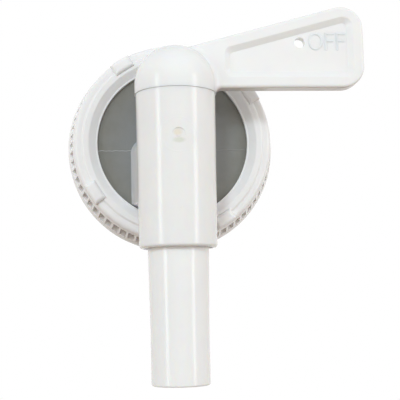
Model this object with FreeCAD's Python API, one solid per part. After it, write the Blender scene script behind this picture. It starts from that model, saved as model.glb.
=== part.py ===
"""Dispensing tap for the neck of a jerrycan: screw ring, tap body, turning spout tube and lever cap.

Millimetres. +X is to the right, +Y points into the container and +Z is up.
The origin is on the axis of the screw ring, at the plane where the neck of the container seals.
"""
import FreeCAD, Part
import math
import os

Vector = FreeCAD.Vector

# Stack along the ring axis
gasket_thickness = 2.0
flange_thickness = 2.0
ring_play = 0.15
lip_thickness = 1.4
cone_depth = 1.55
step_height = 0.6
rim_thickness = 3.4
rib_length = 8.0
flare_length = 3.0
band_length = 2.9

# Face of the screw ring, from its rim inwards
rim_radius = 34.0
rim_round = 1.6
rim_draft = 0.7
face_width = 3.1
step_run = 0.6
land_width = 1.8
cone_run = 2.4
lip_width = 0.6
edge_round = 0.4

# Ribbed skirt and rear band
rib_count = 72
rib_notch_width = 2.25
rib_notch_round = 0.9
rib_depth = 0.9
rib_draft = 1.3
band_overhang = 1.95

# Wrench lugs on the face of the ring
lug_count = 4
lug_start_angle = 32.5
lug_width = 7.2
lug_length = 4.3
lug_height = 1.7
lug_round = 1.3
lug_setback = 0.5

# Neck thread inside the skirt
skirt_wall = 2.3
thread_height = 1.1
thread_pitch = 4.0
thread_base_width = 2.0
thread_crest_width = 0.9
thread_root_overlap = 0.4
thread_end_margin = 0.4
pilot_length = 2.7
pilot_clearance = 0.3
seat_relief = 0.5
flange_clearance = 0.5

# Gasket
gasket_width = 6.2

# Neck of the tap body
neck_clearance = 0.4
neck_flare = 1.85
neck_draft = 2.4
neck_top = 1.5
neck_round = 5.0
neck_root_fillet = 0.4

# Barrel of the tap body
barrel_top = 12.6
barrel_drop = 12.0
barrel_bottom_radius = 12.35
barrel_taper = 0.49
barrel_wall = 2.35
barrel_top_round = 0.2
barrel_bottom_round = 1.0
lug_gap = 2.75

# Inlet port through flange, neck and tube
port_width = 11.0
port_height = 17.0
port_floor = 4.6

# Moulding mark on the front of the barrel
gate_height = -2.75
gate_radius = 2.1
gate_depth = 0.3
gate_pip_radius = 0.7
gate_pip_height = 0.2

# Turning tube and spout
tube_clearance = 0.08
tube_wall = 2.42
tube_rise = 4.8
collar_lip = 0.6
collar_height = 1.6
collar_clearance = 0.3
spout_length = 42.6
spout_shoulder = 0.22
spout_taper = 0.45
outlet_length = 18.0
outlet_wall = 2.05
outlet_bore_length = 40.0
outlet_round = 0.5

# Seal rings on the tube
seal_radius = 0.8
seal_clearance = 0.05
seal_groove_width = 2.0
seal_offset = 8.0

# Domed lever cap
dome_overhang = 0.3
dome_gap = 0.05
dome_skirt = 2.67
dome_chamfer = 0.2
dome_wall = 3.0
cap_cavity_lip = 0.6
plug_clearance = 0.05
plug_wall = 1.9
plug_above_port = 4.5
key_width = 3.8
key_depth = 3.0
key_clearance = 0.1

# Stop between lever cap and barrel
turn_range = 180.0
stop_tab_width = 16.0
stop_tab_depth = 1.7
stop_tab_wall = 0.85
stop_clearance = 0.3
stop_spare_angle = 1.0

# Flag lever, length from the barrel axis
lever_length = 61.9
lever_thickness = 6.0
lever_lift = 1.45
lever_slope = 15.25
lever_root_drop = 1.95
lever_tip_round = 7.3
lever_heel_round = 7.4
lever_edge_round = 1.0
lever_root_fillet = 2.4
panel_border = 3.6
panel_gap = 2.9
panel_depth = 1.5
panel_wall_run = 1.8
panel_round = 2.2
panel_edge_round = 0.6
panel_tip_round = 3.2
tie_hole_radius = 1.75
tie_hole_from_end = 21.0
tie_hole_height = 15.2

# Radii of the ring
step_radius = rim_radius - face_width
land_outer_radius = step_radius - step_run
land_inner_radius = land_outer_radius - land_width
lip_outer_radius = land_inner_radius - cone_run
ring_hole_radius = lip_outer_radius - lip_width
rib_root_radius = rim_radius - rib_depth
rib_crest_radius = rim_radius + rib_draft
band_radius = rim_radius + band_overhang
thread_root_radius = rib_root_radius - skirt_wall
thread_crest_radius = thread_root_radius - thread_height
pilot_radius = thread_crest_radius - pilot_clearance
seat_radius = pilot_radius + seat_relief
flange_radius = pilot_radius - flange_clearance
neck_reach = ring_hole_radius - neck_clearance

# Radii of barrel, tube and dome
barrel_top_radius = barrel_bottom_radius + barrel_taper
barrel_bore_radius = barrel_bottom_radius - barrel_wall
neck_half_width = barrel_bottom_radius + neck_flare
tube_radius = barrel_bore_radius - tube_clearance
tube_bore_radius = tube_radius - tube_wall
collar_radius = barrel_bore_radius + collar_lip
spout_top_radius = tube_radius - spout_shoulder
outlet_radius = spout_top_radius - spout_taper
outlet_bore_radius = outlet_radius - outlet_wall
dome_radius = barrel_top_radius + dome_overhang
cap_cavity_radius = barrel_bore_radius + cap_cavity_lip
plug_radius = tube_bore_radius - plug_clearance
seal_centre_radius = barrel_bore_radius - seal_clearance - seal_radius
seal_groove_radius = seal_centre_radius - seal_radius - seal_clearance

# Places along the ring axis
flange_rear_y = -gasket_thickness
flange_front_y = flange_rear_y - flange_thickness
plate_rear_y = flange_front_y - ring_play
lip_front_y = plate_rear_y - lip_thickness
land_y = lip_front_y - cone_depth
face_y = land_y + step_height
rim_rear_y = face_y + rim_thickness
rib_end_y = rim_rear_y + rib_length
flare_end_y = rib_end_y + flare_length
ring_rear_y = flare_end_y + band_length
lug_front_y = face_y - lug_height
barrel_axis_y = lug_front_y - lug_gap - barrel_top_radius

# Heights along the barrel axis
barrel_bottom = -neck_reach - barrel_drop
dome_rim = barrel_top + dome_gap
dome_top = dome_rim + dome_skirt + dome_radius
tube_top = dome_rim + tube_rise
spout_bottom = barrel_bottom - spout_length
port_bottom = -neck_reach + port_floor
port_top = port_bottom + port_height
collar_bottom = barrel_bottom + collar_clearance
collar_top = collar_bottom + collar_height
counterbore_top = collar_top + collar_clearance
upper_seal_z = port_top + seal_offset
lower_seal_z = port_bottom - seal_offset
plug_bottom = port_top + plug_above_port
core_top = dome_top - dome_wall

# Lever
lever_lower = dome_rim + lever_lift
lever_upper_at_axis = dome_top - lever_root_drop
lever_rise = math.tan(math.radians(lever_slope))
panel_start = dome_radius + panel_gap


def outline(corners, place):
    """Closed wire through corners (u, v, corner radius), each put in space by place(u, v)."""
    arcs = []
    for index, (u, v, radius) in enumerate(corners):
        here = Vector(u, v, 0)
        before = Vector(*corners[index - 1][:2], 0) - here
        after = Vector(*corners[(index + 1) % len(corners)][:2], 0) - here
        before.normalize()
        after.normalize()
        half_angle = before.getAngle(after) / 2
        reach = radius / math.tan(half_angle)
        bisector = before + after
        if radius > 0:
            bisector.normalize()
        middle = here + bisector * (radius / math.sin(half_angle) - radius)
        arcs.append((here + before * reach, middle, here + after * reach, radius))
    edges = []
    for index, (start, middle, end, radius) in enumerate(arcs):
        last = arcs[index - 1][2]
        if last.distanceToPoint(start) > 1e-6:
            edges.append(Part.makeLine(place(last.x, last.y), place(start.x, start.y)))
        if radius > 0:
            points = [place(point.x, point.y) for point in (start, middle, end)]
            edges.append(Part.Arc(*points).toShape())
    return Part.Wire(Part.__sortEdges__(edges))


def turned_about_ring(corners):
    """Solid of revolution about the ring axis from corners (radius, y, corner radius)."""
    face = Part.Face(outline(corners, lambda r, y: Vector(r, y, 0)))
    return face.revolve(Vector(0, 0, 0), Vector(0, 1, 0), 360)


def turned_about_barrel(corners):
    """Solid of revolution about the barrel axis from corners (radius, z, corner radius)."""
    face = Part.Face(outline(corners, lambda r, z: Vector(r, barrel_axis_y, z)))
    return face.revolve(Vector(0, barrel_axis_y, 0), Vector(0, 0, 1), 360)


def barrel_cylinder(radius, low, high, angle=360):
    """Cylinder, or sector of one, on the barrel axis between two heights."""
    return Part.makeCylinder(radius, high - low, Vector(0, barrel_axis_y, low), Vector(0, 0, 1), angle)


def turn_about_barrel(shape, angle):
    """Turn a shape in place about the barrel axis, anticlockwise from above."""
    shape.rotate(Vector(0, barrel_axis_y, 0), Vector(0, 0, 1), angle)
    return shape


def around_ring(shape, count, start_angle):
    """Copies of a shape on +X, turned round the ring axis, anticlockwise as seen from the front."""
    copies = []
    for index in range(count):
        copy = shape.copy()
        copy.rotate(Vector(0, 0, 0), Vector(0, -1, 0), start_angle + index * 360 / count)
        copies.append(copy)
    return copies


def shared_edges(joined, first, second):
    """Edges of a joined solid that lie on the skins of both solids that it was made from."""
    found = []
    for edge in joined.Edges:
        if edge.Length > 0.01:
            middle = Part.Vertex(edge.valueAt((edge.FirstParameter + edge.LastParameter) / 2))
            gaps = [solid.Shells[0].distToShape(middle)[0] for solid in (first, second)]
            if max(gaps) < 1e-4:
                found.append(edge)
    return found


def port_cutter(start_y, end_y):
    """Upright obround along the ring axis, the shape of the inlet port."""
    half = port_width / 2
    corners = [
        (-half, port_bottom, half),
        (half, port_bottom, half),
        (half, port_top, half),
        (-half, port_top, half),
    ]
    wire = outline(corners, lambda x, z: Vector(x, start_y, z))
    return Part.Face(wire).extrude(Vector(0, end_y - start_y, 0))


def wrench_lugs():
    """Rounded blocks that stand on the face of the ring and reach its rim."""
    reach = rim_radius - lug_setback
    depth = lip_front_y - lug_front_y
    corner = Vector(reach - lug_length, lug_front_y, -lug_width / 2)
    lug = Part.makeBox(lug_length, depth, lug_width, corner)
    lug = lug.common(Part.makeCylinder(reach, depth, Vector(0, lug_front_y, 0), Vector(0, 1, 0)))
    rounded = [edge for edge in lug.Edges if edge.BoundBox.YMax < lip_front_y - 1e-6]
    return around_ring(lug.makeFillet(lug_round, rounded), lug_count, lug_start_angle)


def neck_thread():
    """Helical ridge inside the ring, with a sloped section."""
    start_y = pilot_length + thread_base_width / 2 + thread_end_margin
    end_y = ring_rear_y - thread_base_width / 2 - thread_end_margin
    base_radius = thread_root_radius + thread_root_overlap
    section = [
        Vector(base_radius, 0, -thread_base_width / 2),
        Vector(thread_crest_radius, 0, -thread_crest_width / 2),
        Vector(thread_crest_radius, 0, thread_crest_width / 2),
        Vector(base_radius, 0, thread_base_width / 2),
    ]
    profile = Part.makePolygon(section + section[:1])
    helix = Part.Wire(Part.makeHelix(thread_pitch, end_y - start_y, thread_crest_radius))
    ridge = helix.makePipeShell([profile], True, True)
    ridge.rotate(Vector(0, 0, 0), Vector(1, 0, 0), -90)
    ridge.translate(Vector(0, start_y, 0))
    return ridge


def screw_ring():
    """Captive ring: stepped face with a hole, lugs, ribbed skirt, rear band and neck thread."""
    corners = [
        (ring_hole_radius, plate_rear_y, 0),
        (ring_hole_radius, lip_front_y, lip_width / 2),
        (lip_outer_radius, lip_front_y, 0),
        (land_inner_radius, land_y, 2 * edge_round),
        (land_outer_radius, land_y, edge_round),
        (step_radius, face_y, edge_round),
        (rim_radius - rim_draft, face_y, rim_round),
        (rim_radius, rim_rear_y, 0),
        (rib_crest_radius, rib_end_y, 0),
        (band_radius, flare_end_y, 2 * edge_round),
        (band_radius, ring_rear_y, edge_round),
        (thread_root_radius, ring_rear_y, edge_round),
        (thread_root_radius, pilot_length, 0),
        (pilot_radius, pilot_length, 0),
        (pilot_radius, 0, 0),
        (seat_radius, 0, 0),
        (seat_radius, plate_rear_y, 0),
    ]
    ring = turned_about_ring(corners)
    half_notch = rib_notch_width / 2
    notch_corners = [
        (rib_root_radius, -half_notch, rib_notch_round),
        (band_radius, -half_notch, 0),
        (band_radius, half_notch, 0),
        (rib_root_radius, half_notch, rib_notch_round),
    ]
    notch = Part.Face(outline(notch_corners, lambda x, z: Vector(x, rim_rear_y, z)))
    notch = notch.extrude(Vector(0, rib_length, 0))
    ring = ring.cut(Part.makeCompound(around_ring(notch, rib_count, 0)))
    ring = ring.fuse(wrench_lugs())
    return ring.fuse(neck_thread())


def neck_gasket():
    """Flat washer between the flange and the neck of the container."""
    inner_radius = flange_radius - gasket_width
    corners = [
        (inner_radius, flange_rear_y, 0),
        (flange_radius, flange_rear_y, 0),
        (flange_radius, 0, 0),
        (inner_radius, 0, 0),
    ]
    return turned_about_ring(corners)


def tap_neck():
    """Drafted block that joins the flange to the barrel inside the hole of the ring."""
    bottom = -neck_reach - neck_clearance

    def section(half_width, top, y):
        corners = [
            (-half_width, bottom, 0),
            (half_width, bottom, 0),
            (half_width, top, neck_round),
            (-half_width, top, neck_round),
        ]
        return outline(corners, lambda x, z: Vector(x, y, z))

    wide = section(neck_half_width, neck_top, flange_front_y)
    narrow = section(neck_half_width - neck_draft, neck_top - neck_draft, barrel_axis_y)
    block = Part.makeLoft([narrow, wide], True, True)
    length = flange_front_y - barrel_axis_y
    limit = Part.makeCylinder(neck_reach, length, Vector(0, barrel_axis_y, 0), Vector(0, 1, 0))
    return block.common(limit)


def gate_mark(barrel_radius):
    """Cutter for the round dimple on the barrel, with the pip at its centre left standing."""
    front_y = barrel_axis_y - barrel_radius
    floor_y = front_y + gate_depth
    start = Vector(0, front_y - gate_depth, gate_height)
    dimple = Part.makeCylinder(gate_radius, 2 * gate_depth, start, Vector(0, 1, 0))
    pip_start = Vector(0, floor_y - gate_pip_height, gate_height)
    pip = Part.makeCylinder(gate_pip_radius, gate_pip_height, pip_start, Vector(0, 1, 0))
    return dimple.cut(pip)


def tap_body():
    """One moulding of flange, neck and barrel, with the bore, inlet port and stop groove."""
    axis = Vector(0, 1, 0)
    flange = Part.makeCylinder(flange_radius, flange_thickness, Vector(0, flange_front_y, 0), axis)
    body = flange.fuse(tap_neck())
    corner_edges = [
        edge for edge in body.Edges
        if abs(edge.BoundBox.YMax - flange_front_y) < 1e-6
        and abs(edge.BoundBox.YMin - flange_front_y) < 1e-6
        and edge.BoundBox.ZMax < neck_reach
    ]
    body = body.makeFillet(neck_root_fillet, corner_edges)
    barrel = turned_about_barrel([
        (0, barrel_bottom, 0),
        (barrel_bottom_radius, barrel_bottom, barrel_bottom_round),
        (barrel_top_radius, barrel_top, barrel_top_round),
        (0, barrel_top, 0),
    ])
    body = body.fuse(barrel)
    gate_rise = (gate_height - barrel_bottom) / (barrel_top - barrel_bottom)
    gate_barrel_radius = barrel_bottom_radius + barrel_taper * gate_rise
    groove_radius = cap_cavity_radius + stop_clearance + stop_tab_wall / 2
    groove_low = barrel_top - stop_tab_depth - stop_clearance
    groove_angle = turn_range + stop_tab_width + 2 * stop_spare_angle
    groove = barrel_cylinder(groove_radius, groove_low, barrel_top, groove_angle)
    turn_about_barrel(groove, -groove_angle / 2)
    cutters = [
        barrel_cylinder(barrel_bore_radius, barrel_bottom, barrel_top),
        barrel_cylinder(collar_radius + collar_clearance, barrel_bottom, counterbore_top),
        groove,
        port_cutter(barrel_axis_y, 0),
        gate_mark(gate_barrel_radius),
    ]
    return body.cut(cutters)


def spout_tube():
    """Turning tube: keyed top, seal grooves, inlet port, collar and tapered spout."""
    half_groove = seal_groove_width / 2
    corners = [
        (tube_bore_radius, tube_top, 0),
        (tube_radius, tube_top, 0),
    ]
    for seal_z in (upper_seal_z, lower_seal_z):
        corners += [
            (tube_radius, seal_z + half_groove, 0),
            (seal_groove_radius, seal_z + half_groove, 0),
            (seal_groove_radius, seal_z - half_groove, 0),
            (tube_radius, seal_z - half_groove, 0),
        ]
    corners += [
        (tube_radius, collar_top, 0),
        (collar_radius, collar_top, 0),
        (collar_radius, collar_bottom, 0),
        (spout_top_radius, collar_bottom, 0),
        (outlet_radius, spout_bottom + outlet_length, 0),
        (outlet_radius, spout_bottom, outlet_round),
        (outlet_bore_radius, spout_bottom, outlet_round),
        (outlet_bore_radius, spout_bottom + outlet_bore_length, 0),
        (tube_bore_radius, spout_bottom + outlet_bore_length, 0),
    ]
    tube = turned_about_barrel(corners)
    front_port = port_cutter(barrel_axis_y - barrel_bore_radius, barrel_axis_y)
    slot = key_block(key_width + 2 * key_clearance, key_depth + key_clearance)
    return tube.cut([front_port, slot])


def key_block(width, depth):
    """Bar across the top of the tube, the shape of the two keys that turn it."""
    corner = Vector(-tube_radius, barrel_axis_y - width / 2, tube_top - depth)
    return Part.makeBox(2 * tube_radius, width, depth, corner)


def lever_outline(border, tip_round, heel_round, start_x, start_round, y):
    """Outline of the flag lever, moved in by a border, from start_x to its end."""
    end_x = lever_length - border
    drop = border / math.cos(math.radians(lever_slope))

    def upper(x):
        return lever_upper_at_axis + x * lever_rise - drop

    corners = [
        (start_x, lever_lower + border, start_round),
        (end_x, lever_lower + border, heel_round),
        (end_x, upper(end_x), tip_round),
        (start_x, upper(start_x), start_round),
    ]
    return outline(corners, lambda x, z: Vector(x, y, z))


def lever_panel(face_y_offset, inward):
    """Cutter for the sloped recess on one face of the lever."""
    face_plane = barrel_axis_y + face_y_offset
    floor_plane = face_plane + inward * panel_depth
    rim = lever_outline(panel_border, panel_tip_round, panel_round, panel_start, panel_round, face_plane)
    floor_border = panel_border + panel_wall_run
    floor_start = panel_start + panel_wall_run
    floor_round = panel_round - panel_wall_run / 2
    floor_tip = panel_tip_round - panel_wall_run
    floor = lever_outline(floor_border, floor_tip, floor_round, floor_start, floor_round, floor_plane)
    return Part.makeLoft([rim, floor], True, True)


def flag_lever():
    """Flat lever with rounded edges, a recess on each face and a tie hole through its web."""
    half = lever_thickness / 2
    wire = lever_outline(0, lever_tip_round, lever_heel_round, 0, 0, barrel_axis_y - half)
    plate = Part.Face(wire).extrude(Vector(0, lever_thickness, 0))

    def face_edges(shape):
        return [edge for edge in shape.Edges if edge.BoundBox.YLength < 1e-6
                and abs(abs(edge.BoundBox.YMin - barrel_axis_y) - half) < 1e-6]

    rim_edges = [edge for edge in face_edges(plate) if edge.BoundBox.XMax > lever_edge_round]
    plate = plate.makeFillet(lever_edge_round, rim_edges)
    plate = plate.cut([lever_panel(-half, 1), lever_panel(half, -1)])
    panel_end = lever_length - panel_border
    panel_edges = [
        edge for edge in face_edges(plate)
        if edge.BoundBox.XMin > panel_start - 1e-6 and edge.BoundBox.XMax < panel_end + 1e-6
    ]
    plate = plate.makeFillet(panel_edge_round, panel_edges)
    hole_x = lever_length - tie_hole_from_end
    hole_start = Vector(hole_x, barrel_axis_y - half, lever_lower + tie_hole_height)
    hole = Part.makeCylinder(tie_hole_radius, lever_thickness, hole_start, Vector(0, 1, 0))
    return plate.cut(hole)


def lever_cap():
    """Domed cap with the flag lever, the cored plug that closes the tube, its keys and the stop tab."""
    dome = turned_about_barrel([
        (0, dome_rim, 0),
        (dome_radius - dome_chamfer, dome_rim, 0),
        (dome_radius, dome_rim + dome_chamfer, 0),
        (dome_radius, dome_top, dome_radius),
        (0, dome_top, 0),
    ])
    lever = flag_lever()
    cap = dome.fuse(lever)
    cap = cap.makeFillet(lever_root_fillet, shared_edges(cap, dome, lever))
    cap = cap.cut(barrel_cylinder(cap_cavity_radius, dome_rim, tube_top))
    plug = barrel_cylinder(plug_radius, plug_bottom, tube_top)
    keys = key_block(key_width, key_depth)
    tab_low = dome_rim - stop_tab_depth
    tab_outer = cap_cavity_radius + stop_tab_wall / 2
    tab = barrel_cylinder(tab_outer, tab_low, tube_top, stop_tab_width)
    tab = tab.cut(barrel_cylinder(tab_outer - stop_tab_wall, tab_low, tube_top))
    turn_about_barrel(tab, turn_range / 2 - stop_tab_width / 2)
    core = barrel_cylinder(plug_radius - plug_wall, plug_bottom, core_top)
    return cap.fuse([plug, keys, tab]).cut(core)


def seal_ring(height):
    """O-ring in its groove on the tube."""
    centre = Vector(0, barrel_axis_y, height)
    return Part.makeTorus(seal_centre_radius, seal_radius, centre, Vector(0, 0, 1))


pieces = {
    "screw_ring": screw_ring(),
    "neck_gasket": neck_gasket(),
    "tap_body": tap_body(),
    "spout_tube": spout_tube(),
    "lever_cap": lever_cap(),
    "upper_seal_ring": seal_ring(upper_seal_z),
    "lower_seal_ring": seal_ring(lower_seal_z),
}

os.makedirs("parts", exist_ok=True)
for name, shape in pieces.items():
    if len(shape.Solids) != 1 or not shape.isValid():
        raise ValueError(name + " is not one valid solid")
    shape.Solids[0].exportStep("parts/" + name + ".step")
    box = shape.BoundBox
    print(name, round(shape.Volume, 1), [round(value, 2) for value in (
        box.XMin, box.XMax, box.YMin, box.YMax, box.ZMin, box.ZMax)])
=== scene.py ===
"""Looks of the dispensing tap: plastics, raised words, fine trim, studio light and the photo's camera."""
import math

import bpy
from mathutils import Matrix, Vector


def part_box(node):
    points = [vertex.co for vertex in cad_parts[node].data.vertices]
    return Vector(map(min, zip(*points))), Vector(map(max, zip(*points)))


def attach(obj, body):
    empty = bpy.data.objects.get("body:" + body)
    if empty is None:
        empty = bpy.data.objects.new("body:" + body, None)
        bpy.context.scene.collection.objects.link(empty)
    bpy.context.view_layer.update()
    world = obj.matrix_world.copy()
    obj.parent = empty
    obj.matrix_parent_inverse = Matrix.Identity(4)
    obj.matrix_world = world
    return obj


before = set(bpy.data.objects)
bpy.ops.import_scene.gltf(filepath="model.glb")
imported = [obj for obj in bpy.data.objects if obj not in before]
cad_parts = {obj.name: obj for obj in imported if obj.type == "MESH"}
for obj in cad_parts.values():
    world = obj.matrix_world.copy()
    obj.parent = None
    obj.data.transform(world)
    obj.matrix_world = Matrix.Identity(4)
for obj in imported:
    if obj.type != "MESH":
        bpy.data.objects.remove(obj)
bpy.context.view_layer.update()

MM = 0.001

# Camera of the photo, with sizes in millimetres and angles in degrees
PHOTO_PIXELS = 400
FOCAL_PIXELS = 925.7
SENSOR_WIDTH = 36.0
CAMERA_TARGET = Vector((7.2, -23.75, -21.8))
CAMERA_DISTANCE = 295.2
CAMERA_AZIMUTH = -5.12
CAMERA_ELEVATION = -6.44
CAMERA_ROLL = -1.32
CAMERA_NEAREST = 10.0

# Floor, in metres: its shadow shows through a veil of white that is full at the far end of the reach
FLOOR_HEIGHT = -0.30
FLOOR_SIZE = 8.0
FLOOR_COLOUR = (0.88, 0.87, 0.85)
FLOOR_ROUGHNESS = 0.9
SHADOW_REACH = (0.45, 0.82)
SHADOW_VEIL = 0.30

# Soft light from all round: strongest near the horizon, dim from above, dim and warm from below
HORIZON_LIGHT = (0.98, 0.93, 0.90)
ZENITH_LIGHT = (0.30, 0.30, 0.30)
GROUND_LIGHT = (0.30, 0.23, 0.17)
ZENITH_FADE = (0.35, 0.9)
GROUND_FADE = (0.0, -0.25)
BACKDROP_WHITE = (1.0, 1.0, 1.0)

# Lamps, in metres, with the brightness of their surface: soft ones, and strips that show as highlights
LAMP_AIM_HEIGHT = -0.01
SOFT_LAMPS = {
    "key": dict(place=(-0.26, -0.96, 0.36), size=(0.14, 0.14), radiance=50.0, colour=(0.82, 0.97, 1.06)),
    "fill": dict(place=(0.85, -0.30, 0.10), size=(0.40, 0.40), radiance=1.6, colour=(0.96, 0.99, 1.0)),
    "rear": dict(place=(0.35, 0.95, 0.40), size=(0.50, 0.50), radiance=4.6, colour=(0.90, 0.97, 1.0)),
}
STRIP_PLACES = {"left_strip": (-0.45, -0.345, 0.04), "right_strip": (0.43, -0.36, 0.04)}
STRIP_LAMP = dict(size=(0.11, 0.36), radiance=3.4, colour=(0.94, 0.99, 1.0))

# Colours of the plastics and rubbers
ROTOR_WHITE = (0.885, 0.895, 0.895)
BARREL_WHITE = (0.865, 0.865, 0.86)
# Painted shade in the gate's dimple: beige in its upper part, greenish along its lower edge
GATE_SHADE_BEIGE = (0.80, 0.75, 0.62)
GATE_SHADE_GREEN = (0.69, 0.71, 0.61)
NECK_GREY = (0.84, 0.86, 0.91)
DISC_CENTRE = (0.235, 0.248, 0.250)
DISC_MIDDLE = (0.215, 0.220, 0.205)
DISC_EDGE = (0.200, 0.197, 0.165)
DISC_HAZE = (0.30, 0.31, 0.30)
RING_WHITE = (0.885, 0.890, 0.895)
# Mould line colours are a painted highlight: lighter than the disc, and lighter on the left than on the
# right
MOULD_LINE_LIT_LEFT = (0.48, 0.50, 0.50)
MOULD_LINE_DIM_RIGHT = (0.30, 0.305, 0.295)
GASKET_GREY = (0.33, 0.33, 0.31)
SEAL_BLACK = (0.02, 0.02, 0.021)

# Finish of each plastic: ripple is a bump strength, softness a share of light that enters, reach how far
ROTOR_FINISH = dict(roughness=0.13, ripple=0.05, softness=0.25, reach=2.0 * MM)
RING_FINISH = dict(roughness=0.18, ripple=0.08, softness=0.15, reach=2.0 * MM)
BODY_FINISH = dict(roughness=0.13, ripple=0.10, softness=0.35, reach=3.0 * MM)
MOULD_LINE_FINISH = dict(roughness=0.2, ripple=0.05, softness=0.1, reach=1.0 * MM)
SOFT_REACH_BY_COLOUR = (1.0, 0.62, 0.38)

# Noise of the plastics, with scale in waves per metre, and what it does
CLOUDS = dict(scale=85.0, detail=4.0)
CLOUD_SPREAD = (0.3, 0.7)
CLOUD_SHADE = 0.972
FLECKS = dict(scale=900.0, detail=2.0)
FLECK_SPREAD = (0.66, 0.80)
FLECK_SHADE = 0.86
FLECK_SHARE = 0.16
RUBBED = dict(scale=260.0, detail=4.0, roughness=0.6)
RUBBED_SPREAD = (0.3, 0.75)
RUBBED_SMOOTHER = 0.03
RUBBED_ROUGHER = 0.07
RIPPLE = dict(scale=120.0, detail=2.0)
RIPPLE_DEPTH = 0.3 * MM
GRAIN = dict(scale=2400.0, detail=2.0)
GRAIN_STRENGTH = 0.06
GRAIN_DEPTH = 0.05 * MM

# Noise of the rubbers, with scale in waves per metre, and what it does
DUST = dict(scale=320.0, detail=5.0)
DUST_SPREAD = (0.35, 0.75)
DUST_KEEPS = 0.85
DUST_ADDS = 0.08
DUST_ROUGH_SPREAD = (0.3, 0.7)
RUBBER_ROUGHNESS = (0.62, 0.85)
RUBBER_GRAIN = dict(scale=2200.0, detail=3.0)
RUBBER_GRAIN_STRENGTH = 0.35
RUBBER_GRAIN_DEPTH = 0.08 * MM

# Disc: where it fades in ahead of the flange, shares of the radius where its colour changes, and a haze
DISC_FADE = (0.45 * MM, 0.05 * MM)
DISC_SPREAD = (0.45, 0.9)
DISC_MIDDLE_SHARE = 0.6
HAZE = dict(scale=210.0, detail=5.0, roughness=0.65)
HAZE_SPREAD = (0.35, 0.8)
HAZE_SHARE = 0.3

# Marks of the injection gate, in metres: where they fade in ahead of the axis, two patches of painted
# shade in the gate's dimple and a circle
FRONT_FADE = (4.0 * MM, 8.0 * MM)
GATE_HEIGHT = -2.75 * MM
GATE_SHADES = [
    dict(across=-0.3 * MM, up=0.75 * MM, radius=1.8 * MM, flatness=1.4, colour=GATE_SHADE_BEIGE),
    dict(across=0.1 * MM, up=-1.75 * MM, radius=2.4 * MM, flatness=2.2, colour=GATE_SHADE_GREEN),
]
# Core and strength of the painted shade patches at the gate
GATE_SHADE_CORE = 0.45
GATE_SHADE_SHARE = 0.75
WITNESS_RADIUS = 5.4 * MM
WITNESS_WIDTH = 0.35 * MM
WITNESS_RELIEF = 0.02 * MM

# Raised words on the lever, in metres, with the letters' proportions as shares of height or width
WORD_HEIGHT = 6.0 * MM
WORD_STROKE = 0.85 * MM
WORD_RELIEF = 0.20 * MM
WORD_FROM_END = 18.2 * MM
WORD_FROM_TOP = 14.4 * MM
LETTER_GAP = 0.5 * MM
PANEL_WEB = 3.0 * MM
O_WIDTH = 0.82
O_STEPS = 48
F_WIDTH = 0.54
F_MIDDLE = 0.53
F_LOWER_ARM = 0.9
N_WIDTH = 0.74

# Mould line on the disc, in metres, with its waver as two waves in radians over its length
FLANGE_THICKNESS = 2.0 * MM
LINE_HEIGHT = -2.4 * MM
LINE_SPAN = (13.6 * MM, 25.4 * MM)
LINE_WIDTH = 0.2 * MM
LINE_RELIEF = 0.1 * MM
LINE_STEPS = 40
WAVER_SIZE = 0.10 * MM
WAVER_SLOW = 9.0
WAVER_QUICK = 23.0

# Rim under the dome, in metres, with its sharp edges found by an angle in degrees
RIM_WALL = 0.26 * MM
RIM_LOW = 12.4 * MM
RIM_HIGH = 12.85 * MM
RIM_STEPS = 192
RIM_SHARP_ANGLE = 30.0

# Places on the part that the details line up with
lever_low, lever_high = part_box("lever_cap")
body_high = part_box("tap_body")[1]
tube_low, tube_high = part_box("spout_tube")
BARREL_AXIS_Y = (tube_low.y + tube_high.y) / 2
DOME_RADIUS = -lever_low.x
FLANGE_RADIUS = body_high.x
FLANGE_FRONT = body_high.y - FLANGE_THICKNESS

# Turns of a flat detail, drawn from the front or from the rear
FACING_FRONT = Matrix.Rotation(math.pi / 2, 4, "X")
FACING_REAR = Matrix.Rotation(math.pi, 4, "Z") @ FACING_FRONT

# Sockets of the Mix node that belong to colours
MIX_FACTOR = 0
MIX_FIRST = 6
MIX_SECOND = 7
MIX_RESULT = 2


def node_material(name):
    """New material with its node tree ready to be filled."""
    material = bpy.data.materials.new(name)
    material.use_nodes = True
    tree = material.node_tree
    return material, tree, tree.nodes["Principled BSDF"]


def add_node(tree, kind, **settings):
    """New node with its properties and unlinked inputs set by name."""
    node = tree.nodes.new(kind)
    for key, value in settings.items():
        if hasattr(node, key):
            setattr(node, key, value)
        else:
            node.inputs[key].default_value = value
    return node


def object_place(tree):
    """Object coordinates, which are metres in the part's frame."""
    return tree.nodes.new("ShaderNodeTexCoord").outputs["Object"]


def component(tree, vector, axis):
    """One component of a vector."""
    node = tree.nodes.new("ShaderNodeSeparateXYZ")
    tree.links.new(vector, node.inputs["Vector"])
    return node.outputs[axis]


def noise(tree, coordinates, scale, detail, roughness=0.55):
    """Noise texture on object coordinates, with scale in waves per metre."""
    node = add_node(tree, "ShaderNodeTexNoise", Scale=scale, Detail=detail, Roughness=roughness)
    tree.links.new(coordinates, node.inputs["Vector"])
    return node.outputs["Fac"]


def ramp(tree, factor, stops):
    """Colour ramp through (position, colour) stops."""
    node = tree.nodes.new("ShaderNodeValToRGB")
    elements = node.color_ramp.elements
    while len(elements) < len(stops):
        elements.new(0.5)
    for element, (position, colour) in zip(elements, stops):
        element.position = position
        element.color = (*colour, 1.0)
    tree.links.new(factor, node.inputs["Fac"])
    return node.outputs["Color"]


def span(tree, value, low, high, start=0.0, end=1.0):
    """Value mapped from low..high to start..end, held at both ends."""
    node = add_node(tree, "ShaderNodeMapRange", clamp=True)
    for socket, number in zip(("From Min", "From Max", "To Min", "To Max"), (low, high, start, end)):
        node.inputs[socket].default_value = number
    tree.links.new(value, node.inputs["Value"])
    return node.outputs["Result"]


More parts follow.
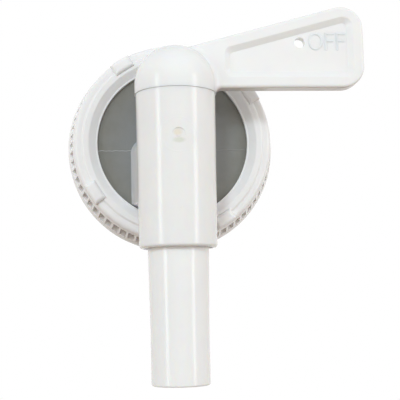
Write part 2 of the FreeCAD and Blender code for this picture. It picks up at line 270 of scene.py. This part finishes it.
def mix(tree, factor, first, second):
    """Mix of two colours by a factor, where each colour is a socket or a constant."""
    node = add_node(tree, "ShaderNodeMix", data_type="RGBA")
    tree.links.new(factor, node.inputs[MIX_FACTOR])
    for socket, source in ((node.inputs[MIX_FIRST], first), (node.inputs[MIX_SECOND], second)):
        if isinstance(source, tuple):
            socket.default_value = (*source, 1.0)
        else:
            tree.links.new(source, socket)
    return node.outputs[MIX_RESULT]


def math_of_two(tree, operation, first, second):
    """Result of a math operation on two values."""
    node = add_node(tree, "ShaderNodeMath", operation=operation)
    tree.links.new(first, node.inputs[0])
    tree.links.new(second, node.inputs[1])
    return node.outputs["Value"]


def mix_shaders(tree, factor, first, second):
    """Mix of two shaders by a factor."""
    node = tree.nodes.new("ShaderNodeMixShader")
    tree.links.new(factor, node.inputs["Fac"])
    tree.links.new(first, node.inputs[1])
    tree.links.new(second, node.inputs[2])
    return node.outputs["Shader"]


def bump(tree, height, strength, depth):
    """Bump node for a height."""
    node = add_node(tree, "ShaderNodeBump", Strength=strength, Distance=depth)
    tree.links.new(height, node.inputs["Height"])
    return node


def distance_in(tree, coordinates, axes):
    """Distance from the origin, with each axis weighted and an axis of weight zero left out."""
    flat = add_node(tree, "ShaderNodeVectorMath", operation="MULTIPLY")
    flat.inputs[1].default_value = axes
    tree.links.new(coordinates, flat.inputs[0])
    length = add_node(tree, "ShaderNodeVectorMath", operation="LENGTH")
    tree.links.new(flat.outputs["Vector"], length.inputs[0])
    return length.outputs["Value"]


def shade(colour, amount):
    """Colour made darker or lighter by an amount."""
    return tuple(channel * amount for channel in colour)


def cloudy(tree, coordinates, colour):
    """Base colour with faint clouds and fainter flecks, as in moulded natural plastic."""
    clouds = noise(tree, coordinates, **CLOUDS)
    low, high = CLOUD_SPREAD
    base = ramp(tree, clouds, [(low, shade(colour, CLOUD_SHADE)), (high, colour)])
    flecks = noise(tree, coordinates, **FLECKS)
    return mix(tree, span(tree, flecks, *FLECK_SPREAD, 0.0, FLECK_SHARE), base, shade(colour, FLECK_SHADE))


def moulded_finish(tree, shader, coordinates, roughness, ripple, softness, reach):
    """Rubbed roughness, a fine grain over a soft ripple, whose bump is returned, and light that enters."""
    rubbed = noise(tree, coordinates, **RUBBED)
    worn = span(tree, rubbed, *RUBBED_SPREAD, roughness - RUBBED_SMOOTHER, roughness + RUBBED_ROUGHER)
    tree.links.new(worn, shader.inputs["Roughness"])
    wave = bump(tree, noise(tree, coordinates, **RIPPLE), ripple, RIPPLE_DEPTH)
    grain = bump(tree, noise(tree, coordinates, **GRAIN), GRAIN_STRENGTH, GRAIN_DEPTH)
    tree.links.new(wave.outputs["Normal"], grain.inputs["Normal"])
    tree.links.new(grain.outputs["Normal"], shader.inputs["Normal"])
    shader.inputs["Subsurface Weight"].default_value = softness
    shader.inputs["Subsurface Radius"].default_value = SOFT_REACH_BY_COLOUR
    shader.inputs["Subsurface Scale"].default_value = reach
    return wave


def plastic(name, colour, finish):
    """Moulded plastic of one colour."""
    material, tree, shader = node_material(name)
    coordinates = object_place(tree)
    tree.links.new(cloudy(tree, coordinates, colour), shader.inputs["Base Color"])
    moulded_finish(tree, shader, coordinates, **finish)
    return material


def rubber(name, colour):
    """Matt rubber with a fine grain and dusty patches."""
    material, tree, shader = node_material(name)
    coordinates = object_place(tree)
    dust = noise(tree, coordinates, **DUST)
    low, high = DUST_SPREAD
    dusty = tuple(channel * DUST_KEEPS + DUST_ADDS for channel in colour)
    tree.links.new(ramp(tree, dust, [(low, colour), (high, dusty)]), shader.inputs["Base Color"])
    tree.links.new(span(tree, dust, *DUST_ROUGH_SPREAD, *RUBBER_ROUGHNESS), shader.inputs["Roughness"])
    grain_height = noise(tree, coordinates, **RUBBER_GRAIN)
    grain = bump(tree, grain_height, RUBBER_GRAIN_STRENGTH, RUBBER_GRAIN_DEPTH)
    tree.links.new(grain.outputs["Normal"], shader.inputs["Normal"])
    return material


def disc_colour(tree, coordinates):
    """Grey of the thin flange, from the neck to its edge, under a pale haze."""
    near, far = DISC_SPREAD
    radius = distance_in(tree, coordinates, (1.0, 0.0, 1.0))
    spread = span(tree, radius, near * FLANGE_RADIUS, far * FLANGE_RADIUS)
    grey = ramp(tree, spread, [(0.0, DISC_CENTRE), (DISC_MIDDLE_SHARE, DISC_MIDDLE), (1.0, DISC_EDGE)])
    haze = noise(tree, coordinates, **HAZE)
    return mix(tree, span(tree, haze, *HAZE_SPREAD, 0.0, HAZE_SHARE), grey, DISC_HAZE)


def gate_distance(tree, coordinates, across, up, flatness):
    """Distance from a point beside the gate, seen from the front."""
    moved = add_node(tree, "ShaderNodeVectorMath", operation="SUBTRACT")
    moved.inputs[1].default_value = (across, 0.0, GATE_HEIGHT + up)
    tree.links.new(coordinates, moved.inputs[0])
    return distance_in(tree, moved.outputs["Vector"], (1.0, 0.0, flatness))


def with_gate_shade(tree, coordinates, front, base, across, up, radius, flatness, colour):
    """Base colour with a soft patch of painted shade in the gate's dimple, on the front of the barrel
    only.
    """
    reach = gate_distance(tree, coordinates, across, up, flatness)
    spot = span(tree, reach, GATE_SHADE_CORE * radius, radius, GATE_SHADE_SHARE, 0.0)
    return mix(tree, math_of_two(tree, "MULTIPLY", spot, front), base, colour)


def witness_ring(tree, coordinates, front, wave):
    """Faint raised circle that the mould's gate insert leaves on the front of the barrel."""
    reach = gate_distance(tree, coordinates, across=0.0, up=0.0, flatness=1.0)
    rise = span(tree, reach, WITNESS_RADIUS - WITNESS_WIDTH, WITNESS_RADIUS)
    fall = span(tree, reach, WITNESS_RADIUS, WITNESS_RADIUS + WITNESS_WIDTH, 1.0, 0.0)
    height = math_of_two(tree, "MULTIPLY", math_of_two(tree, "MULTIPLY", rise, fall), front)
    circle = bump(tree, height, 1.0, WITNESS_RELIEF)
    tree.links.new(circle.outputs["Normal"], wave.inputs["Normal"])


def body_plastic():
    """Natural plastic of the tap body: white on the barrel with painted shade in the gate's dimple, grey
    and cloudy on the thin flange.
    """
    material, tree, shader = node_material("body_natural_plastic")
    coordinates = object_place(tree)
    depth = component(tree, coordinates, "Y")
    front = span(tree, depth, *(BARREL_AXIS_Y - ahead for ahead in FRONT_FADE))
    barrel = cloudy(tree, coordinates, BARREL_WHITE)
    # Painted shade in the gate's dimple, laid over the barrel's colour
    for gate_shade in GATE_SHADES:
        barrel = with_gate_shade(tree, coordinates, front, barrel, **gate_shade)
    toward_disc = span(tree, depth, BARREL_AXIS_Y, FLANGE_FRONT)
    neck = mix(tree, toward_disc, barrel, NECK_GREY)
    on_disc = span(tree, depth, *(FLANGE_FRONT - ahead for ahead in DISC_FADE))
    colour = mix(tree, on_disc, neck, disc_colour(tree, coordinates))
    tree.links.new(colour, shader.inputs["Base Color"])
    wave = moulded_finish(tree, shader, coordinates, **BODY_FINISH)
    witness_ring(tree, coordinates, front, wave)
    return material


def dress_cad_nodes():
    """Finish of every CAD piece."""
    rotor = plastic("rotor_white_plastic", ROTOR_WHITE, ROTOR_FINISH)
    seal = rubber("seal_black_rubber", SEAL_BLACK)
    finishes = {
        "lever_cap": rotor,
        "spout_tube": rotor,
        "screw_ring": plastic("ring_warm_white_plastic", RING_WHITE, RING_FINISH),
        "tap_body": body_plastic(),
        "neck_gasket": rubber("gasket_grey_rubber", GASKET_GREY),
        "upper_seal_ring": seal,
        "lower_seal_ring": seal,
    }
    for node, material in finishes.items():
        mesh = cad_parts[node].data
        mesh.materials.clear()
        mesh.materials.append(material)
    return finishes


def add_piece(name, mesh, material):
    """Smooth piece of one material, made from a mesh."""
    mesh.shade_smooth()
    mesh.materials.clear()
    mesh.materials.append(material)
    piece = bpy.data.objects.new(name, mesh)
    bpy.context.scene.collection.objects.link(piece)
    return piece


def ridge(name, strokes, width, relief, place, turn, material):
    """Rounded ridge along flat strokes (points, closed), put in place with its crest outwards."""
    curve = bpy.data.curves.new(name, "CURVE")
    curve.dimensions = "3D"
    curve.bevel_depth = width / 2
    curve.bevel_resolution = 3
    curve.use_fill_caps = True
    for points, closed in strokes:
        spline = curve.splines.new("POLY")
        spline.points.add(len(points) - 1)
        for point, (u, v) in zip(spline.points, points):
            point.co = (u, v, 0.0, 1.0)
        spline.use_cyclic_u = closed
    source = bpy.data.objects.new(name + "_source", curve)
    bpy.context.scene.collection.objects.link(source)
    bpy.context.view_layer.update()
    mesh = bpy.data.meshes.new_from_object(source.evaluated_get(bpy.context.evaluated_depsgraph_get()))
    bpy.data.objects.remove(source)
    flatten = Matrix.Scale(2 * relief / width, 4, (0.0, 0.0, 1.0))
    mesh.transform(Matrix.Translation(place) @ turn @ flatten)
    return add_piece(name, mesh, material)


def letter_o(start):
    """Upright oval and the width that it takes."""
    width = O_WIDTH * WORD_HEIGHT
    across = (width - WORD_STROKE) / 2
    tall = (WORD_HEIGHT - WORD_STROKE) / 2
    oval = []
    for step in range(O_STEPS):
        angle = 2 * math.pi * step / O_STEPS
        u = start + width / 2 + across * math.cos(angle)
        v = WORD_HEIGHT / 2 + tall * math.sin(angle)
        oval.append((u, v))
    return [(oval, True)], width


def letter_f(start):
    """Stem with two arms and the width that they take."""
    width = F_WIDTH * WORD_HEIGHT
    left = start + WORD_STROKE / 2
    top = WORD_HEIGHT - WORD_STROKE / 2
    middle = F_MIDDLE * WORD_HEIGHT
    stem = [(left, 0.0), (left, WORD_HEIGHT)]
    upper_arm = [(left, top), (start + width, top)]
    lower_arm = [(left, middle), (start + F_LOWER_ARM * width, middle)]
    return [(stem, False), (upper_arm, False), (lower_arm, False)], width


def letter_n(start):
    """Two stems with a diagonal and the width that they take."""
    width = N_WIDTH * WORD_HEIGHT
    left = start + WORD_STROKE / 2
    right = start + width - WORD_STROKE / 2
    stems = [([(side, 0.0), (side, WORD_HEIGHT)], False) for side in (left, right)]
    diagonal = [(left, WORD_HEIGHT - WORD_STROKE / 2), (right, WORD_STROKE / 2)]
    return stems + [(diagonal, False)], width


def raised_word(word, turn, side, material):
    """Moulded word that stands on the floor of the lever's panel, on its front (-1) or rear (1) face."""
    shapes = {"O": letter_o, "F": letter_f, "N": letter_n}
    strokes = []
    start = 0.0
    for letter in word:
        shape, width = shapes[letter](start)
        strokes += shape
        start += width + LETTER_GAP
    length = start - LETTER_GAP
    left = lever_high.x - WORD_FROM_END
    begin = left if side < 0 else left + length
    place = Vector((begin, BARREL_AXIS_Y + side * PANEL_WEB / 2, lever_high.z - WORD_FROM_TOP))
    piece = ridge("word_" + word.lower(), strokes, WORD_STROKE, WORD_RELIEF, place, turn, material)
    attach(piece, "rotor")


def dome_rim(material):
    """Thin rim that reaches from the dome past the top of the barrel and closes the seam to the eye."""
    inner = DOME_RADIUS - RIM_WALL
    profile = [(inner, RIM_LOW), (DOME_RADIUS, RIM_LOW), (DOME_RADIUS, RIM_HIGH), (inner, RIM_HIGH)]
    corners = len(profile)
    points = []
    faces = []
    for step in range(RIM_STEPS):
        angle = 2 * math.pi * step / RIM_STEPS
        for radius, height in profile:
            points.append((radius * math.cos(angle), BARREL_AXIS_Y + radius * math.sin(angle), height))
        here = step * corners
        there = (step + 1) % RIM_STEPS * corners
        for corner in range(corners):
            after = (corner + 1) % corners
            faces.append((here + corner, there + corner, there + after, here + after))
    mesh = bpy.data.meshes.new("dome_rim")
    mesh.from_pydata(points, [], faces)
    piece = add_piece("dome_rim", mesh, material)
    mesh.set_sharp_from_angle(angle=math.radians(RIM_SHARP_ANGLE))
    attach(piece, "rotor")


def mould_lines():
    """Fine flash line across the disc, on each side of the neck, in a painted highlight colour that is
    lighter on the left.
    """
    near, far = LINE_SPAN
    place = Vector((0.0, FLANGE_FRONT, LINE_HEIGHT))
    # Each side's line gets its own painted highlight colour, lighter on the left than on the right
    for side, half, colour in ((-1, "left", MOULD_LINE_LIT_LEFT), (1, "right", MOULD_LINE_DIM_RIGHT)):
        name = "mould_line_" + half
        material = plastic(name + "_plastic", colour, MOULD_LINE_FINISH)
        points = []
        for step in range(LINE_STEPS + 1):
            part = step / LINE_STEPS
            u = side * (near + (far - near) * part)
            v = WAVER_SIZE * math.sin(WAVER_SLOW * part) * math.sin(WAVER_QUICK * part)
            points.append((u, v))
        strokes = [(points, False)]
        piece = ridge(name, strokes, LINE_WIDTH, LINE_RELIEF, place, FACING_FRONT, material)
        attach(piece, "tap")


def camera():
    """Camera at the photo's viewing angle."""
    azimuth = math.radians(CAMERA_AZIMUTH)
    elevation = math.radians(CAMERA_ELEVATION)
    back = Vector((
        math.sin(azimuth) * math.cos(elevation),
        -math.cos(azimuth) * math.cos(elevation),
        math.sin(elevation),
    ))
    data = bpy.data.cameras.new("photo_camera")
    data.sensor_width = SENSOR_WIDTH
    data.lens = SENSOR_WIDTH * FOCAL_PIXELS / PHOTO_PIXELS
    data.clip_start = CAMERA_NEAREST * MM
    eye = bpy.data.objects.new("photo_camera", data)
    turn = (-back).to_track_quat("-Z", "Y").to_matrix().to_4x4()
    roll = Matrix.Rotation(math.radians(CAMERA_ROLL), 4, "Z")
    place = Matrix.Translation((CAMERA_TARGET + back * CAMERA_DISTANCE) * MM)
    eye.matrix_world = place @ turn @ roll
    bpy.context.scene.collection.objects.link(eye)
    bpy.context.scene.camera = eye


def seen_rays(tree):
    """One for rays from the camera, from mirrors and through glass, zero for the light itself."""
    path = tree.nodes.new("ShaderNodeLightPath")
    total = path.outputs["Is Camera Ray"]
    for name in ("Is Glossy Ray", "Is Transmission Ray"):
        total = math_of_two(tree, "MAXIMUM", total, path.outputs[name])
    return total


def stage_floor():
    """Pale floor that keeps the shadow near the part and runs out to white."""
    mesh = bpy.data.meshes.new("floor")
    half = FLOOR_SIZE / 2
    corners = [(-half, -half), (half, -half), (half, half), (-half, half)]
    mesh.from_pydata([(x, y, FLOOR_HEIGHT) for x, y in corners], [], [(0, 1, 2, 3)])
    floor = bpy.data.objects.new("floor", mesh)
    bpy.context.scene.collection.objects.link(floor)
    material, tree, shader = node_material("floor_pale")
    shader.inputs["Base Color"].default_value = (*FLOOR_COLOUR, 1.0)
    shader.inputs["Roughness"].default_value = FLOOR_ROUGHNESS
    white = add_node(tree, "ShaderNodeEmission", Color=(*BACKDROP_WHITE, 1.0), Strength=1.0)
    reach = distance_in(tree, object_place(tree), (1.0, 1.0, 0.0))
    far = span(tree, reach, *SHADOW_REACH, SHADOW_VEIL, 1.0)
    veil = math_of_two(tree, "MULTIPLY", far, seen_rays(tree))
    surface = mix_shaders(tree, veil, shader.outputs["BSDF"], white.outputs["Emission"])
    tree.links.new(surface, tree.nodes["Material Output"].inputs["Surface"])
    mesh.materials.append(material)
    floor.visible_diffuse = False


def studio_world():
    """White backdrop, with soft light that is strongest near the horizon, as inside a light tent."""
    world = bpy.data.worlds.new("studio")
    bpy.context.scene.world = world
    world.use_nodes = True
    tree = world.node_tree
    tree.nodes.clear()
    rise = component(tree, tree.nodes.new("ShaderNodeTexCoord").outputs["Generated"], "Z")
    above = mix(tree, span(tree, rise, *ZENITH_FADE), HORIZON_LIGHT, ZENITH_LIGHT)
    light = tree.nodes.new("ShaderNodeBackground")
    tree.links.new(mix(tree, span(tree, rise, *GROUND_FADE), above, GROUND_LIGHT), light.inputs["Color"])
    backdrop = add_node(tree, "ShaderNodeBackground", Color=(*BACKDROP_WHITE, 1.0))
    both = mix_shaders(tree, seen_rays(tree), light.outputs["Background"], backdrop.outputs["Background"])
    output = tree.nodes.new("ShaderNodeOutputWorld")
    tree.links.new(both, output.inputs["Surface"])


def area_light(name, place, size, radiance, colour):
    """Rectangular lamp of a given surface brightness, turned to face the barrel."""
    width, height = size
    data = bpy.data.lights.new(name, "AREA")
    data.shape = "RECTANGLE"
    data.size = width
    data.size_y = height
    data.energy = radiance * math.pi * width * height
    data.color = colour
    lamp = bpy.data.objects.new(name, data)
    lamp.location = place
    aim = Vector((0.0, BARREL_AXIS_Y, LAMP_AIM_HEIGHT))
    lamp.rotation_euler = (aim - Vector(place)).to_track_quat("-Z", "Y").to_euler()
    bpy.context.scene.collection.objects.link(lamp)
    return lamp


def studio_lights():
    """Key from the upper left front, fill from right and rear, and a highlight strip on each side."""
    for name, settings in SOFT_LAMPS.items():
        lamp = area_light(name, **settings)
        lamp.visible_glossy = False
    for name, place in STRIP_PLACES.items():
        area_light(name, place, **STRIP_LAMP)


finishes = dress_cad_nodes()
raised_word("OFF", FACING_FRONT, -1, finishes["lever_cap"])
raised_word("ON", FACING_REAR, 1, finishes["lever_cap"])
dome_rim(finishes["lever_cap"])
mould_lines()
camera()
stage_floor()
studio_world()
studio_lights()
bpy.context.scene.view_settings.view_transform = "Standard"
